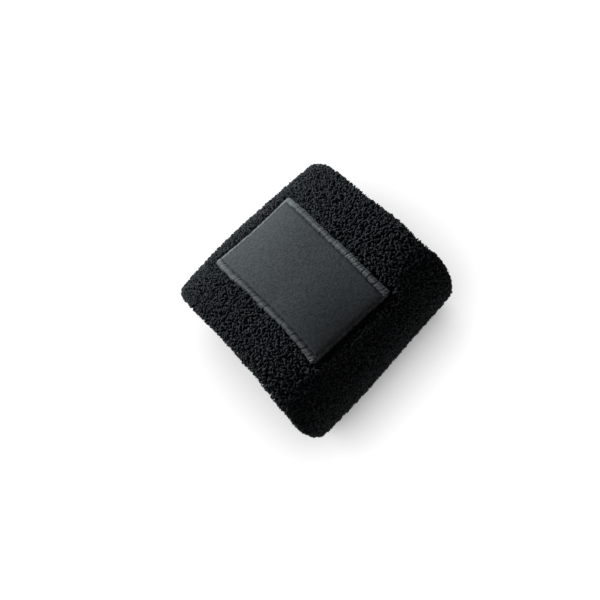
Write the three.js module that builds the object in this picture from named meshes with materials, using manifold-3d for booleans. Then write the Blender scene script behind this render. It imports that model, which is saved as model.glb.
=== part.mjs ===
import * as THREE from 'three';
import * as BufferGeometryUtils from 'three/addons/utils/BufferGeometryUtils.js';
import Module from 'manifold-3d';

// A terry sweat wristband as it sits when worn: a tube of looped fabric, turned back on itself
// at both rims and closed by one seam on the wrist side, with a bordered blank patch sewn on.
// All sizes are in millimetres. The tube's axis is X, with the hand at -X and the forearm at +X.
// Y runs across the wrist, +Z points out through the patch, and the band rests on z = 0.

// The opening that the wrist fills
const bandWidth = 76;
const openingBreadthHand = 67;
const openingBreadthForearm = 60;
const openingThickness = 45;
const openingSquareness = 2.6; // exponent of its superellipse outline: 2 is an ellipse

// The fabric, from loop tips to loop tips through one doubled wall
const pileHeight = 1.8;
const groundThickness = 0.6;
const pileGap = 0.3; // between the loops' solid and the ground they grow from
const yarnGap = 0.25; // around a yarn that lies between the two plies
const restFlat = 0.4; // how far the loops underneath are pressed flat

// Yarns and threads
const elasticDiameter = 0.5;
const elasticCount = 12;
const elasticPitch = 5.6;
const seamThreadDiameter = 1.4;
const seamClearance = 0.3;
const stitchThreadDiameter = 0.4;

// The patch
const patchWidth = 35.5; // along the arm
const patchLength = 58.5; // around the wrist
const patchCornerRadius = 2.6;
const borderWidth = 2.4;
const borderWrap = 0.3; // thickness of the thread wrapped over the edge
const borderGrip = 1.2; // how far the twill and its backing reach under the border
const backingThickness = 0.3;
const twillThickness = 0.4;
const plyGap = 0.1;
const pressedPile = 0.4; // loops squeezed flat under the patch
const patchClearance = 0.3; // between the patch and the loops around and under it
const stitchGap = 0.2; // from the border's inner edge to the row of stitches

// How finely curved surfaces are divided
const stationsAround = 40;
const foldSteps = 6;
const yarnSides = 5;
const patchStations = 20;
const cornerSteps = 4;
const stitchSteps = 96;

// The wall's layers, as heights above the opening's outline
const pocket = elasticDiameter + stitchThreadDiameter + 3 * yarnGap;
const wall = 2 * (pileHeight + pileGap + groundThickness) + pocket;
const foldRadius = wall / 2;
const pileInner = foldRadius - pileHeight;
const groundOuter = pileInner - pileGap;
const groundInner = pocket / 2;
const foldStart = bandWidth / 2 - foldRadius;
const elasticHeight = foldRadius - groundInner + yarnGap + elasticDiameter / 2;
const bobbinHeight = foldRadius + groundInner - yarnGap - stitchThreadDiameter / 2;
const seamHeight = foldRadius - (groundInner + groundOuter) / 2;
const seamHalfSlot = seamThreadDiameter / 2 + seamClearance;
const pressedTop = wall - pileHeight + pressedPile;
const borderBottom = pressedTop + patchClearance;
const backingBottom = borderBottom + borderWrap + plyGap;
const twillBottom = backingBottom + backingThickness + plyGap;
const twillTop = twillBottom + twillThickness;
const borderTop = twillTop + plyGap + borderWrap;
const stitchHeight = twillTop + plyGap + stitchThreadDiameter / 2;
const stitchInset = borderWidth + stitchGap + stitchThreadDiameter / 2;
const axisHeight = openingThickness / 2 + wall - restFlat;

const wasm = await Module();
wasm.setup();

// Where a point of the wall lies: x along the arm, angle around the section from +Y,
// and height above the opening's outline, measured square to it.
function onWrist(x, angle, height) {
  const taper = (openingBreadthForearm - openingBreadthHand) / bandWidth;
  const halfBreadth = (openingBreadthHand + openingBreadthForearm) / 4 + (taper * x) / 2;
  const halfThickness = openingThickness / 2;
  const c = Math.cos(angle);
  const s = Math.sin(angle);
  const y = Math.sign(c) * Math.abs(c) ** (2 / openingSquareness);
  const z = Math.sign(s) * Math.abs(s) ** (2 / openingSquareness);
  const slopeY = (Math.sign(y) * Math.abs(y) ** (openingSquareness - 1)) / halfBreadth;
  const slopeZ = (Math.sign(z) * Math.abs(z) ** (openingSquareness - 1)) / halfThickness;
  const slope = Math.hypot(slopeY, slopeZ);
  return new THREE.Vector3(
    x,
    halfBreadth * y + (height * slopeY) / slope,
    halfThickness * z + (height * slopeZ) / slope + axisHeight,
  );
}

// Where a point of the patch lies: x along the arm, arc around the wrist from the top line
// towards +Y, measured along the patch's own underside, and height as above.
function onPatch(x, arc, height) {
  const steps = 64;
  const stride = arc / steps;
  let angle = Math.PI / 2;
  for (let step = 0; step < steps; step += 1) {
    const probe = 0.001;
    const here = onWrist(x, angle, borderBottom);
    const speed = here.distanceTo(onWrist(x, angle - probe, borderBottom)) / probe;
    angle -= stride / speed;
  }
  return onWrist(x, angle, height);
}

// Moves a geometry's vertices to their places and joins the ones that meet.
function shaped(geometry, place) {
  geometry.deleteAttribute('normal');
  geometry.deleteAttribute('uv');
  const position = geometry.getAttribute('position');
  const point = new THREE.Vector3();
  for (let i = 0; i < position.count; i += 1) {
    const moved = place(point.fromBufferAttribute(position, i));
    position.setXYZ(i, moved.x, moved.y, moved.z);
  }
  return BufferGeometryUtils.mergeVertices(geometry, 0.0005);
}

// A ring around the whole wrist with the given outline of [x, height] points: it is turned
// as a round ring first, and each vertex is then moved to its place on the wrist's outline.
function bandRing(outline) {
  const turningRadius = 100;
  const points = outline.map(([x, height]) => new THREE.Vector2(turningRadius + height, -x));
  points.push(points[0]);
  const halfStep = Math.PI / stationsAround;
  const round = new THREE.LatheGeometry(points, stationsAround, halfStep);
  return shaped(round, (p) => {
    const height = Math.hypot(p.x, p.z) - turningRadius;
    const moved = onWrist(-p.y, Math.atan2(p.z, p.x), height);
    moved.z = Math.max(moved.z, 0);
    return moved;
  });
}

// Points of an arc in the [x, height] plane, from one angle to another.
function arc(x, height, radius, from, to, steps) {
  return Array.from({ length: steps + 1 }, (_, i) => {
    const angle = from + ((to - from) * i) / steps;
    return [x + radius * Math.cos(angle), height + radius * Math.sin(angle)];
  });
}

function yarnRing(x, height, diameter) {
  const turn = 2 * Math.PI * (1 - 1 / yarnSides);
  return bandRing(arc(x, height, diameter / 2, 0, turn, yarnSides - 1));
}

function pileBand(fromX, toX, low, high) {
  return bandRing([[fromX, low], [toX, low], [toX, high], [fromX, high]]);
}

// The loops round one rim: half a ring outside the fold, at the hand (-1) or forearm (+1) end.
function rimPile(end) {
  const down = -Math.PI / 2;
  const outline = [
    ...arc(foldStart, foldRadius, foldRadius, down, -down, foldSteps),
    ...arc(foldStart, foldRadius, pileInner, -down, down, foldSteps),
  ];
  return end > 0 ? bandRing(outline) : bandRing(outline.map(([x, h]) => [-x, h]).reverse());
}

// The ground fabric: the outer ply, both folds and the lining ply, open only where its two
// raw edges face each other at the closing seam.
function groundTube() {
  const down = -Math.PI / 2;
  const right = [
    [seamHalfSlot, foldRadius - groundOuter],
    ...arc(foldStart, foldRadius, groundOuter, down, -down, foldSteps),
  ];
  const rightInner = [
    ...arc(foldStart, foldRadius, groundInner, -down, down, foldSteps),
    [seamHalfSlot, foldRadius - groundInner],
  ];
  const mirrored = (outline) => outline.map(([x, h]) => [-x, h]).reverse();
  return bandRing([...right, ...mirrored(right), ...mirrored(rightInner), ...rightInner]);
}

// A sheet of the patch between two heights, cut to the patch's outline less an inset.
function patchSheet(inset, low, high) {
  const halfWidth = patchWidth / 2 - inset;
  const halfLength = patchLength / 2 - inset;
  const radius = Math.max(patchCornerRadius - inset, 0.4);
  const rows = patchStations + 2 * cornerSteps;
  const sheet = new THREE.BoxGeometry(2, rows, 1, 2, rows, 1);
  return shaped(sheet, (p) => {
    const row = Math.round(p.y + rows / 2);
    const fromEnd = Math.min(row, rows - row);
    const side = row < rows / 2 ? -1 : 1;
    const straight = halfLength - radius;
    let across = halfWidth;
    let along = ((row - rows / 2) / (rows / 2 - cornerSteps)) * straight;
    if (fromEnd < cornerSteps) {
      const turn = (Math.PI / 2) * (1 - fromEnd / cornerSteps);
      along = side * (straight + radius * Math.sin(turn));
      across = halfWidth - radius + radius * Math.cos(turn);
    }
    return onPatch(p.x * across, along, p.z < 0 ? low : high);
  });
}

// A thread that runs round the patch, inside its outline, as one closed loop.
function patchLoop(inset, height, diameter) {
  const width = patchWidth - 2 * inset;
  const length = patchLength - 2 * inset;
  const path = new THREE.Path();
  const radius = 1;
  path.moveTo(width / 2, radius - length / 2);
  path.lineTo(width / 2, length / 2 - radius);
  path.absarc(width / 2 - radius, length / 2 - radius, radius, 0, Math.PI / 2);
  path.lineTo(radius - width / 2, length / 2);
  path.absarc(radius - width / 2, length / 2 - radius, radius, Math.PI / 2, Math.PI);
  path.lineTo(-width / 2, radius - length / 2);
  path.absarc(radius - width / 2, radius - length / 2, radius, Math.PI, 1.5 * Math.PI);
  path.lineTo(width / 2 - radius, -length / 2);
  path.absarc(width / 2 - radius, radius - length / 2, radius, -Math.PI / 2, 0);
  const loopRadius = 10;
  const loop = new THREE.TorusGeometry(loopRadius, diameter / 2, yarnSides, stitchSteps);
  return shaped(loop, (p) => {
    const turn = Math.atan2(p.y, p.x) / (2 * Math.PI);
    const at = Math.round(turn * stitchSteps + stitchSteps) % stitchSteps;
    const centre = path.getPointAt(at / stitchSteps);
    const tangent = path.getTangentAt(at / stitchSteps);
    const out = Math.hypot(p.x, p.y) - loopRadius;
    return onPatch(centre.x + out * tangent.y, centre.y - out * tangent.x, height + p.z);
  });
}

function solid(geometry) {
  return new wasm.Manifold(new wasm.Mesh({
    numProp: 3,
    vertProperties: new Float32Array(geometry.getAttribute('position').array),
    triVerts: new Uint32Array(geometry.getIndex().array),
  }));
}

function geometryOf(manifold) {
  const mesh = manifold.getMesh();
  const geometry = new THREE.BufferGeometry();
  geometry.setAttribute('position', new THREE.BufferAttribute(mesh.vertProperties, 3));
  geometry.setIndex(new THREE.BufferAttribute(mesh.triVerts, 1));
  return geometry;
}

// The loops outside, with a shallow bed where the patch presses them down.
function outerPile() {
  const reach = foldStart - pileGap;
  const pile = solid(pileBand(-reach, reach, wall - pileHeight, wall));
  const bed = solid(patchSheet(-patchClearance, pressedTop, borderTop + patchClearance));
  return geometryOf(pile.subtract(bed));
}

// The border: thread wrapped over the patch's edge, holding twill and backing between.
function patchBorder() {
  const beyond = 1;
  const whole = solid(patchSheet(0, borderBottom, borderTop));
  const window = solid(patchSheet(borderWidth, borderBottom - beyond, borderTop + beyond));
  const gripInset = borderWidth - borderGrip - plyGap;
  const grip = solid(patchSheet(gripInset, backingBottom - plyGap, twillTop + plyGap));
  return geometryOf(whole.subtract(window).subtract(grip));
}

const materials = {
  terry: new THREE.MeshStandardMaterial({ color: 0x17181a, roughness: 1, metalness: 0 }),
  ground: new THREE.MeshStandardMaterial({ color: 0x111214, roughness: 0.95, metalness: 0 }),
  elastic: new THREE.MeshStandardMaterial({ color: 0x2a2a2c, roughness: 0.7, metalness: 0 }),
  seam: new THREE.MeshStandardMaterial({ color: 0x1c1d20, roughness: 0.8, metalness: 0 }),
  twill: new THREE.MeshStandardMaterial({ color: 0x3f4144, roughness: 0.75, metalness: 0 }),
  backing: new THREE.MeshStandardMaterial({ color: 0xb8b8b4, roughness: 0.95, metalness: 0 }),
  border: new THREE.MeshStandardMaterial({ color: 0x4c4e52, roughness: 0.55, metalness: 0 }),
};

const wristband = new THREE.Group();

function add(name, geometry, material) {
  const mesh = new THREE.Mesh(geometry, material);
  mesh.name = name;
  wristband.add(mesh);
}

const pileReach = foldStart - pileGap;
add('ground_knit_tube', groundTube(), materials.ground);
add('outer_loop_pile', outerPile(), materials.terry);
add('hand_rim_loop_pile', rimPile(-1), materials.terry);
add('forearm_rim_loop_pile', rimPile(1), materials.terry);
add('lining_loop_pile_hand', pileBand(-pileReach, -seamHalfSlot, 0, pileHeight), materials.terry);
add('lining_loop_pile_forearm', pileBand(seamHalfSlot, pileReach, 0, pileHeight), materials.terry);
add('closing_seam_thread', yarnRing(0, seamHeight, seamThreadDiameter), materials.seam);

for (let i = 0; i < elasticCount; i += 1) {
  const x = (i - (elasticCount - 1) / 2) * elasticPitch;
  const number = String(i + 1).padStart(2, '0');
  add(`elastic_yarn_${number}`, yarnRing(x, elasticHeight, elasticDiameter), materials.elastic);
}

const gripped = borderWidth - borderGrip;
const twill = patchSheet(gripped, twillBottom, twillTop);
const backing = patchSheet(gripped, backingBottom, backingBottom + backingThickness);
add('patch_twill_face', twill, materials.twill);
add('patch_interlining', backing, materials.backing);
add('patch_border_thread', patchBorder(), materials.border);
add('patch_lockstitch_thread', patchLoop(stitchInset, stitchHeight, stitchThreadDiameter), materials.border);
add('patch_bobbin_thread', patchLoop(stitchInset, bobbinHeight, stitchThreadDiameter), materials.border);

export default wristband;
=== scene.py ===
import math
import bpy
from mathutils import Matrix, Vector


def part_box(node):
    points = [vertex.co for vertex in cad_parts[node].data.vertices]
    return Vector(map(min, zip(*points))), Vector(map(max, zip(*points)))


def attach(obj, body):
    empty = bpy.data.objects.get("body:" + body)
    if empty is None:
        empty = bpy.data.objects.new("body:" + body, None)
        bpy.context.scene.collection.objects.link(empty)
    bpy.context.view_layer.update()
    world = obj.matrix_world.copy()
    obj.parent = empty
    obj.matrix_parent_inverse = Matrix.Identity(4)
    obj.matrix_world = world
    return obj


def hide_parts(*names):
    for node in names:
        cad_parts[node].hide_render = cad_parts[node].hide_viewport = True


bl_info = {
    "name": "Sweat wristband",
    "version": (1, 0, 0),
    "blender": (4, 5, 0),
    "location": "3D View > Sidebar > Wristband",
    "description": "Builds a terry sweat wristband, loop by loop, on its packed frame",
    "category": "Object",
}

import bpy
import numpy as np
from mathutils import Matrix, Vector

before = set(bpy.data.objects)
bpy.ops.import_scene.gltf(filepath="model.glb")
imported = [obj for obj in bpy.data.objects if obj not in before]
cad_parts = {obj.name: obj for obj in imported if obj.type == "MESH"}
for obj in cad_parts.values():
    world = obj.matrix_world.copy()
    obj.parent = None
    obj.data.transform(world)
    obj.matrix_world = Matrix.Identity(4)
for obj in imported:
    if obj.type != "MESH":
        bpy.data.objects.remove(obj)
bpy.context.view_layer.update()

MM = 0.001
TURN = 2 * math.pi
# no loop or fibre comes nearer to the floor than this, in mm
OFF_FLOOR = 0.02


# ---------------------------------------------------------------- settings


def box_mm(node):
    low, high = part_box(node)
    return np.array(low) / MM, np.array(high) / MM


def number(label, about, default, **more):
    return bpy.props.FloatProperty(name=label, description=about, default=default, **more)


def length(label, about, default):
    """A length as a setting, its default given in mm."""
    return number(label, about, default * MM, subtype="DISTANCE")


def turned(label, about, default):
    """An angle as a setting, its default given in degrees."""
    return number(label, about, math.radians(default), subtype="ANGLE")


def count_of(label, about, default):
    return bpy.props.IntProperty(name=label, description=about, default=default, min=0)


def colour(label, about, default):
    return bpy.props.FloatVectorProperty(
        name=label, description=about, default=default, size=3, subtype="COLOR", min=0, max=1
    )


class BandSettings(bpy.types.PropertyGroup):
    squareness: number("Squareness", "Exponent of the wrist's outline, 2 for an ellipse", 2.6)
    rim_bulge_hand: length("Hand rim bulge", "How far the hand rim swells out", 3.3)
    rim_dip_hand: length("Hand rim dip", "How far the hand rim draws in beside the patch", 1.3)
    rim_bulge_forearm: length("Forearm rim bulge", "How far the forearm rim swells out", 2.7)
    crown_left: length("+Y crown", "How far the wall swells in its middle on the +Y side", 2.1)
    crown_right: length("-Y crown", "How far the wall swells in its middle on the -Y side", 0.8)
    unevenness: length("Unevenness", "Height of the soft swells in the wall", 0.3)
    ground: length("Ground", "Thickness of the knitted ground", 0.6)
    pile: length("Pile", "Height of the loops over the ground", 1.8)
    pile_gap: length("Pile gap", "Space between the ground and the CAD pile solid", 0.3)


class LoopSettings(bpy.types.PropertyGroup):
    pitch: length("Pitch", "Distance between neighbouring loops", 1.09)
    lining_pitch: length("Lining pitch", "Distance between loops of the lining", 1.42)
    yarn: length("Yarn", "Diameter of the loop yarn", 0.51)
    width: length("Width", "Distance between a loop's two feet", 0.92)
    tuft: length("Tuft", "Size of the tufts that the loops gather in", 3.4)
    # paler loop feet are painted light, standing in for light scattered down between the loops
    root_glow: number("Root glow", "How much paler a loop is at its foot than at its crown", 1.15)
    fibres: count_of("Fibres", "How many stray fibres are tried", 14000)
    fibre: length("Fibre", "Thickness of a stray fibre", 0.07)
    seed: count_of("Seed", "Which random loops are drawn", 7)


class PatchSettings(bpy.types.PropertyGroup):
    border: length("Border", "Width of the satin stitched border", 1.95)
    spread: length("Spread", "How far the stitching bulges past each long side of the patch", 0.34)
    corner: length("Corner", "Radius of the patch's corners", 1.7)
    drop: length("Drop", "How far the border's outer edge turns down at the -Y end", 2.6)
    stiff_lift: length("Stiff lift", "How far the patch's -Y end stands off the curve", 1.7)
    turn_down: length("Turn-down", "How far the border's outer edge turns down at the +Y end", 0.5)
    skew: number("Skew", "How far the patch leans as it was sewn on", 0.082)
    flare: number("Flare", "How much wider the patch is at its +Y end", 0.04)
    hand_pull: length("Hand pull", "How far the hand corner of the -Y end is drawn to the hand", 1.3)
    forearm_pull: length("Forearm pull", "How far the forearm corner of the -Y end is drawn back", 1.4)
    tuck: length("Tuck", "How far the +Y end is drawn in", 0.6)
    bow: length("Bow", "How far the +Y end bows inwards between its corners", 0.6)
    shift: length("Shift", "How far round towards +Y the patch sits", 0.7)
    held_down: length("Held down", "How far the pile is held down along the patch's sides", 0.3)
    end_held_down: length("End held down", "How much further it is held down at the +Y end", 2.0)
    heap: length("Heap", "How far the pile stands up past the -Y end", 1.6)
    puff: length("Puff", "How far the cloth rolls up from its groove", 0.5)
    spare_cloth: number("Spare cloth", "How much larger the cloth is cut than its seam", 0.001)
    cloth_pressure: number("Cloth pressure", "Pressure under the cloth as it is simulated", 1.0)
    blown: number("Blown", "Share of the simulated swelling that is kept", 0.5)
    thread_pitch: length("Thread pitch", "Distance between border stitches", 0.36)
    stitch: length("Stitch", "Length of one lockstitch", 2.5)
    sewing_thread: length("Sewing thread", "Thickness of the lockstitch's two threads", 0.32)


class Finishes(bpy.types.PropertyGroup):
    terry: colour("Terry", "Colour of the terry yarn", (0.0157, 0.0185, 0.0210))
    twill: colour("Twill", "Colour of the patch's cloth", (0.0470, 0.0510, 0.0535))
    border: colour("Border", "Colour of the border thread", (0.0990, 0.1050, 0.1080))
    floor: colour("Floor", "Colour of the floor", (0.92, 0.92, 0.92))


class StageSettings(bpy.types.PropertyGroup):
    distance: length("Camera distance", "From the camera to the band's middle", 300.0)
    tilt: turned("Tilt", "How far the camera leans from straight above towards -Y", 20.8)
    swing: turned("Swing", "How far the camera leans towards the forearm end", -0.5)
    roll: turned("Roll", "Turn of the camera about its line of sight", 45.4)
    zoom: number("Zoom", "Focal length as a multiple of the sensor's width", 1.2597)
    offset_right: length("Offset right", "How far right of the middle of its view the band lies", 6.67)
    offset_up: length("Offset up", "How far above the middle of its view the band lies", 1.77)
    key_light: number("Key light", "Power of the softbox", 13.9, unit="POWER")
    key_size: length("Key size", "Diameter of the softbox", 480.0)
    key_far: length("Key distance", "From the softbox to the band's middle", 900.0)
    key_lean: turned("Key lean", "How far the softbox stands from straight above, towards +Y", 60)
    floor_light: number("Floor light", "Strength of the overhead light on the floor", 3.9)
    floor_return: number("Floor return", "Share of the floor's light that comes back up", 0.5)
    fill_light: number("Fill", "Strength of the light all round", 0.035)


GROUPS = {
    "wristband_band": BandSettings,
    "wristband_loops": LoopSettings,
    "wristband_patch": PatchSettings,
    "wristband_finishes": Finishes,
    "wristband_stage": StageSettings,
}


class InMillimetres:
    """A group of settings, read with its lengths in mm."""

    def __init__(self, group):
        self.group = group

    def __getattr__(self, name):
        value = getattr(self.group, name)
        is_length = self.group.bl_rna.properties[name].subtype == "DISTANCE"
        return value / MM if is_length else value


def settings(name):
    return InMillimetres(getattr(bpy.context.scene, "wristband_" + name))


# ---------------------------------------------------------------- the band's form


def run_along(line):
    """How far each point of a line lies from its start."""
    return np.concatenate([[0], np.cumsum(np.linalg.norm(np.diff(line, axis=0), axis=1))])


def hump(angle, centre, width):
    """A soft rise of 1 round an angle, centre and width in degrees."""
    away = (angle - math.radians(centre) + math.pi) % TURN - math.pi
    return np.exp(-((away / math.radians(width)) ** 2))


class Form:
    """The wall's shape, in mm: every layer takes its place from x along the arm, the angle
    round the section from +Y towards +Z, and the height above the wrist opening."""

    def __init__(self):
        band = settings("band")
        hand_low, hand_high = box_mm("hand_rim_loop_pile")
        seam_low, seam_high = box_mm("closing_seam_thread")
        fore_high = box_mm("forearm_rim_loop_pile")[1]
        outer_high = box_mm("outer_loop_pile")[1]
        self.fold_radius = hand_high[0] - hand_low[0]
        self.wall = 2 * self.fold_radius
        self.half_width = fore_high[0]
        self.fold_start = self.half_width - self.fold_radius
        self.axis_z = (seam_low[2] + seam_high[2]) / 2
        self.half_thickness = outer_high[2] - self.axis_z - self.wall
        self.half_hand = hand_high[1] - self.wall
        self.half_forearm = fore_high[1] - self.wall
        self.power = band.squareness
        self.band = band
        self.ground_outer = self.fold_radius - band.pile - band.pile_gap
        self.ground_inner = self.ground_outer - band.ground
        self._make_arcs()

    def half_breadth(self, x):
        share = x / (2 * self.fold_start)
        return (self.half_hand + self.half_forearm) / 2 + (self.half_forearm - self.half_hand) * share

    def swell(self, x, angle):
        """Soft rises and dips of the worn wall, none where it lies on the floor."""
        band = self.band
        # waves of (height, how many go round the wrist, turn for each mm along the arm, start)
        waves = (0.55, 2, 0.045, 1.1), (0.45, 3, -0.06, 2.3), (0.35, 5, 0.11, 0.4), (0.35, 4, 0.13, 2.0)
        wave = sum(tall * np.sin(turns * angle + slant * x + start) for tall, turns, slant, start in waves)
        under = np.clip(-np.sin(angle) * 2.2 - 0.9, 0, 1)
        middle = np.clip(1 - (x / (self.half_width + 0.5)) ** 2, 0, 1) ** 0.7
        crown = band.crown_left * hump(angle, 15, 28) + band.crown_right * hump(angle, 190, 30)
        return band.unevenness * wave * (1 - under) + middle * crown

    def stretch(self, x, angle):
        """How far a point moves along the arm where the rims swell outwards or draw in."""
        band = self.band
        hand = band.rim_bulge_hand * hump(angle, 166, 34) - band.rim_dip_hand * hump(angle, 84, 20) - 0.35
        forearm = (
            band.rim_bulge_forearm * hump(angle, 156, 42)
            + 0.9 * hump(angle, 58, 20)
            + 1.0 * hump(angle, 104, 22)
            - 0.15
        )
        ripple = 0.2 * np.sin(7 * angle + 2 * np.sign(x)) + 0.12 * np.sin(11 * angle + 1.0 - np.sign(x))
        edge = np.clip(np.abs(x) / self.half_width, 0, 1) ** 1.5
        return np.sign(x) * edge * (np.where(x < 0, hand, forearm) + ripple)

    def raw(self, x, angle, height):
        """(point, outward normal) on the section, before the soft swells."""
        x, angle, height = np.broadcast_arrays(x, angle, height)
        half = self.half_breadth(x)
        c, s = np.cos(angle), np.sin(angle)
        y = np.sign(c) * np.abs(c) ** (2 / self.power)
        z = np.sign(s) * np.abs(s) ** (2 / self.power)
        ny = np.sign(y) * np.abs(y) ** (self.power - 1) / half
        nz = np.sign(z) * np.abs(z) ** (self.power - 1) / self.half_thickness
        size = np.hypot(ny, nz)
        ny, nz = ny / size, nz / size
        point = np.stack(
            [x, half * y + height * ny, self.half_thickness * z + height * nz + self.axis_z], -1
        )
        return point, np.stack([np.zeros_like(ny), ny, nz], -1)

    def place(self, x, angle, height):
        """(point, outward normal) on the worn band."""
        x, angle, height = np.broadcast_arrays(x, angle, height)
        point, normal = self.raw(x, angle, height + self.swell(x, angle))
        point = point.copy()
        point[..., 0] += self.stretch(x, angle)
        return point, normal

    def _make_arcs(self):
        """Arc lengths from the top line towards +Y, at several places along the arm."""
        self.arc_x = np.linspace(-self.half_width, self.half_width, 9)
        self.arc_angle = np.linspace(math.pi / 2 + math.pi, math.pi / 2 - math.pi, 1441)
        self.arcs = []
        for x in self.arc_x:
            run = run_along(self.raw(x, self.arc_angle, self.wall - 1)[0])
            self.arcs.append(run - run[len(run) // 2])

    def _between(self, x, found):
        """found has one row for each of arc_x; the value at x lies between two of them."""
        at = np.clip((x - self.arc_x[0]) / (self.arc_x[1] - self.arc_x[0]), 0, len(self.arc_x) - 1.001)
        low = at.astype(int)
        part = at - low
        index = np.arange(found.shape[1])
        return found[low, index] * (1 - part) + found[low + 1, index] * part

    def angle_at(self, x, arc):
        """The angle that lies arc mm round from the top line, towards +Y."""
        x, arc = np.broadcast_arrays(np.asarray(x, float), np.asarray(arc, float))
        found = np.stack([np.interp(arc.ravel(), run, self.arc_angle) for run in self.arcs])
        return self._between(x.ravel(), found).reshape(x.shape)

    def arc_at(self, x, angle):
        """How far round from the top line an angle lies, the other way about."""
        angle = (angle - math.pi / 2 + math.pi) % TURN - math.pi + math.pi / 2
        down = self.arc_angle[::-1]
        found = np.stack([np.interp(angle.ravel(), down, run[::-1]) for run in self.arcs])
        return self._between(np.asarray(x).ravel(), found).reshape(angle.shape)

    def even_angles(self, x, height, count, offsets):
        """count angles spaced evenly by length round the section, moved along it by offsets."""
        angle = np.linspace(0, TURN, 721)
        run = run_along(self.raw(x, angle, height)[0])
        at = (np.arange(count) / count * run[-1] + offsets) % run[-1]
        return np.interp(at, run, angle)

    def around(self, x, height):
        """The length once round the section."""
        return float(run_along(self.raw(x, np.linspace(0, TURN, 361), height)[0])[-1])

    def frame_at(self, x, angle, height, out_x, out_h):
        """Places on the band with three directions there: out of the cloth, along and across it."""
        base, normal = self.place(x, angle, height)
        along = np.array([1.0, 0, 0])
        out = out_x[:, None] * along + out_h[:, None] * normal
        first = out_h[:, None] * along - out_x[:, None] * normal
        return base, out, first, np.cross(out, first)

    def thread_in_wall(self, cad):
        """(radius, height above the opening, low x, high x) of a round CAD thread in the wall."""
        low, high = box_mm(cad)
        radius = (high[0] - low[0]) / 2
        return radius, high[2] - self.axis_z - self.half_thickness - radius, low[0], high[0]


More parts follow.
